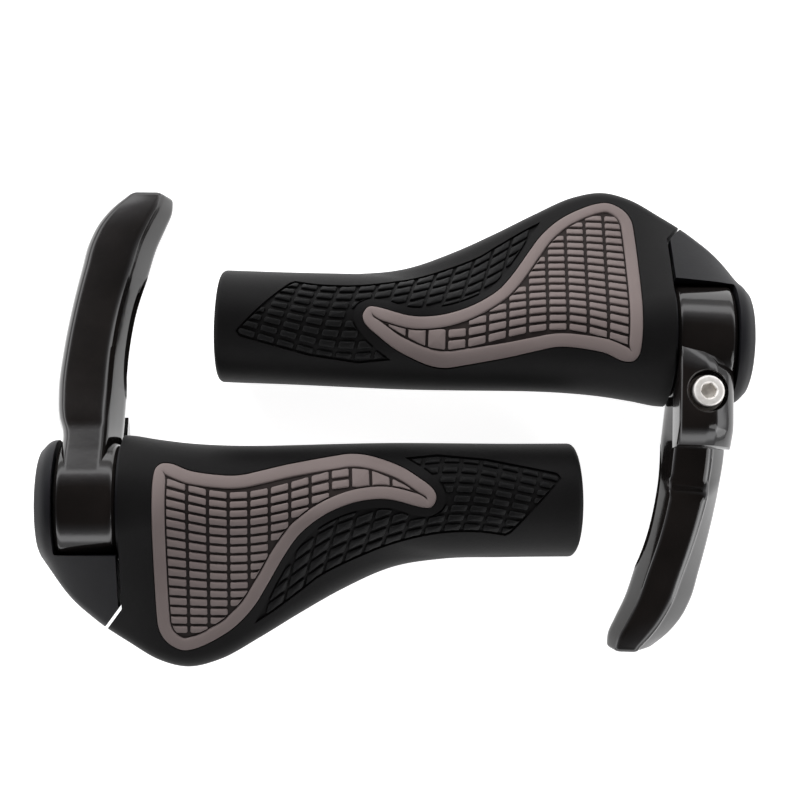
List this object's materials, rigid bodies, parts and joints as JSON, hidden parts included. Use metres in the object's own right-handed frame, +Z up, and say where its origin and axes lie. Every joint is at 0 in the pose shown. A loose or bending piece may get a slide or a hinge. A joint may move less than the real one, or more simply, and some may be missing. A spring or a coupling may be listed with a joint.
{
  "type": "bar end grips",
  "caption": "Pair of ergonomic handlebar grips with palm wings, clamp rings and curved horns, lying flat as a mirror pair.",
  "frame": {"origin": "on the surface that the pair lies on, under the middle of the pair's box", "axes": "+Z up from the surface, +X along the handlebar axis of the left unit towards its inboard end"},
  "size_m": [0.1992, 0.1352, 0.0462],
  "materials": {
    "nylon_core": "moulded nylon",
    "black_rubber": "matte, fine grain",
    "gray_rubber": "matte, fine grain",
    "black_plastic": "satin",
    "gloss_badge": "gloss",
    "black_paint": "high gloss",
    "plated_steel": "plated"
  },
  "bodies": {
    "left_grip": {"left_core_sleeve": "nylon_core", "left_rubber_grip": "black_rubber", "left_top_inlay": "gray_rubber", "left_bottom_inlay": "gray_rubber"},
    "left_cap": {"left_end_cap": "black_plastic", "left_end_badge": "gloss_badge"},
    "left_bar_end": {"left_bar_end": "black_paint"},
    "left_washer": {"left_bolt_washer": "plated_steel"},
    "left_bolt": {"left_clamp_bolt": "plated_steel"},
    "right_grip": {"right_core_sleeve": "nylon_core", "right_rubber_grip": "black_rubber", "right_top_inlay": "gray_rubber", "right_bottom_inlay": "gray_rubber"},
    "right_cap": {"right_end_cap": "black_plastic", "right_end_badge": "gloss_badge"},
    "right_bar_end": {"right_bar_end": "black_paint"},
    "right_washer": {"right_bolt_washer": "plated_steel"},
    "right_bolt": {"right_clamp_bolt": "plated_steel"}
  },
  "joints": [
    {"name": "left_bar_end_turn", "type": "hinge", "parent": "left_grip", "child": "left_bar_end", "pos_m": [-0.08497, -0.02174, 0.02822], "axis": [0.996, 0, -0.0896], "range_deg": [-30, 60]},
    {"name": "left_screw_out", "type": "slide", "parent": "left_bar_end", "child": "left_washer", "axis": [-0.0775, -0.5023, -0.8612], "range_m": [0, 0.0024]},
    {"name": "left_bolt_turn", "type": "hinge", "parent": "left_washer", "child": "left_bolt", "pos_m": [-0.08661, -0.01361, 0.01004], "axis": [-0.0775, -0.5023, -0.8612], "range_deg": [0, 1081]},
    {"name": "left_cap_pull", "type": "slide", "parent": "left_grip", "child": "left_cap", "axis": [-0.996, 0, 0.0896], "range_m": [0, 0.03]},
    {"name": "right_bar_end_turn", "type": "hinge", "parent": "right_grip", "child": "right_bar_end", "pos_m": [0.08509, 0.02307, 0.01887], "axis": [-0.9992, 0.0349, -0.0169], "range_deg": [-17, 73]},
    {"name": "right_screw_out", "type": "slide", "parent": "right_bar_end", "child": "right_washer", "axis": [-0.0123, 0.1295, 0.9915], "range_m": [0, 0.0024]},
    {"name": "right_bolt_turn", "type": "hinge", "parent": "right_washer", "child": "right_bolt", "pos_m": [0.08436, 0.00853, 0.03256], "axis": [-0.0123, 0.1295, 0.9915], "range_deg": [0, 1081]},
    {"name": "right_cap_pull", "type": "slide", "parent": "right_grip", "child": "right_cap", "axis": [0.9992, -0.0349, 0.0169], "range_m": [0, 0.03]},
    {"name": "pair_apart", "type": "slide", "parent": "left_grip", "child": "right_grip", "axis": [0, 1, 0], "range_m": [0, 0.2]}
  ],
  "couplings": [
    {"joint": "left_bolt_turn", "follows": "left_screw_out", "rad_per_m": 7854},
    {"joint": "right_bolt_turn", "follows": "right_screw_out", "rad_per_m": 7854}
  ]
}
